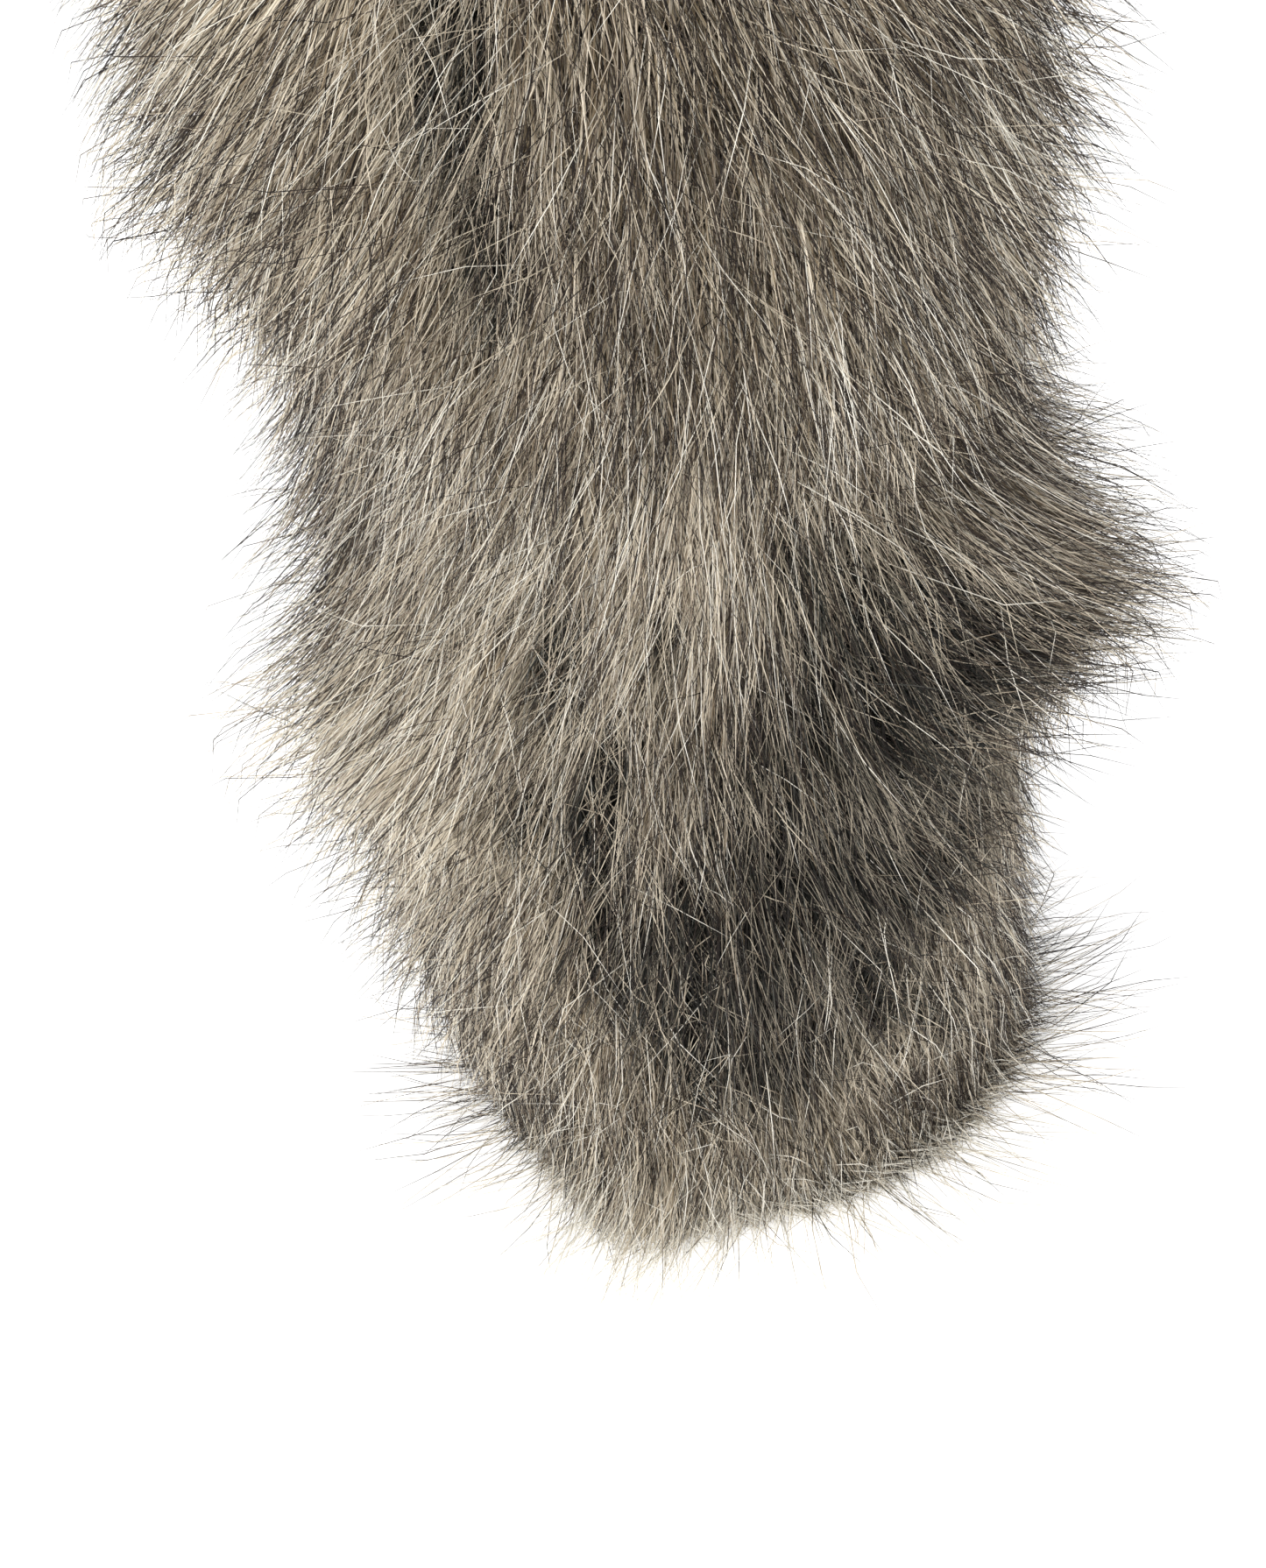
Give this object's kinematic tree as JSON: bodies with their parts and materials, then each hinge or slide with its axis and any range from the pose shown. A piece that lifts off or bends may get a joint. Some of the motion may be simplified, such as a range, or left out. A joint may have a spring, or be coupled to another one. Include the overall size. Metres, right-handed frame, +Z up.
{
  "type": "furry windscreen",
  "caption": "Upright furry basket windscreen: a long-pile jacket over a mesh cage with a round nose and a rubber boot for a shotgun microphone.",
  "frame": {"origin": "centre of the collar's foot, on the surface that the windscreen stands on", "axes": "+Z up along the windscreen's axis towards its nose; +Y towards the jacket's lengthwise seam, -Y the front"},
  "size_m": [0.134, 0.134, 0.262],
  "materials": {
    "long_pile_fur": "long wolf-grey pile, beige shafts with dark brown tips over a dark backing",
    "spacer_knit": "charcoal three-dimensional spacer knit",
    "seam_tape": "black woven seam tape",
    "hem_cloth": "black stretch cloth with two rows of stitching",
    "woven_elastic": "dark grey woven elastic",
    "label_cloth": "plain pale woven label, blank",
    "moulded_nylon": "fine-textured black glass-filled nylon",
    "glass_fibre_rod": "dark pultruded glass-fibre rod",
    "acoustic_mesh": "grey coated wire mesh",
    "boot_rubber": "soft black rubber",
    "cradle_rubber": "soft black thermoplastic rubber",
    "screw_steel": "plain steel"
  },
  "bodies": {
    "collar": {"rear_collar": "moulded_nylon", "mic_boot": "boot_rubber", "clamp_ring": "moulded_nylon", "clamp_screws": "screw_steel", "collar_gasket": "boot_rubber"},
    "cage": {"cage_rear_ring": "moulded_nylon", "lower_hoop": "moulded_nylon", "middle_hoop": "moulded_nylon", "upper_hoop": "moulded_nylon", "cage_rods": "glass_fibre_rod", "nose_ring": "moulded_nylon", "nose_dome": "moulded_nylon", "cage_mesh": "acoustic_mesh", "nose_mesh": "acoustic_mesh", "cradle_ring": "moulded_nylon", "cradle_web": "cradle_rubber"},
    "jacket": {"lining_tube": "spacer_knit", "lining_nose": "spacer_knit", "body_seam_tape": "seam_tape", "nose_seam_tape": "seam_tape", "hem_band": "hem_cloth", "hem_elastic": "woven_elastic", "care_label": "label_cloth", "fur_body": "long_pile_fur", "fur_nose": "long_pile_fur"}
  },
  "joints": [
    {"name": "cage_turn", "type": "hinge", "parent": "collar", "child": "cage", "pos_m": [0, 0, 0.0115], "axis": [0, 0, 1], "range_deg": [0, 30]},
    {"name": "jacket_slide", "type": "slide", "parent": "cage", "child": "jacket", "axis": [0, 0, 1], "range_m": [0, 0.24]}
  ]
}
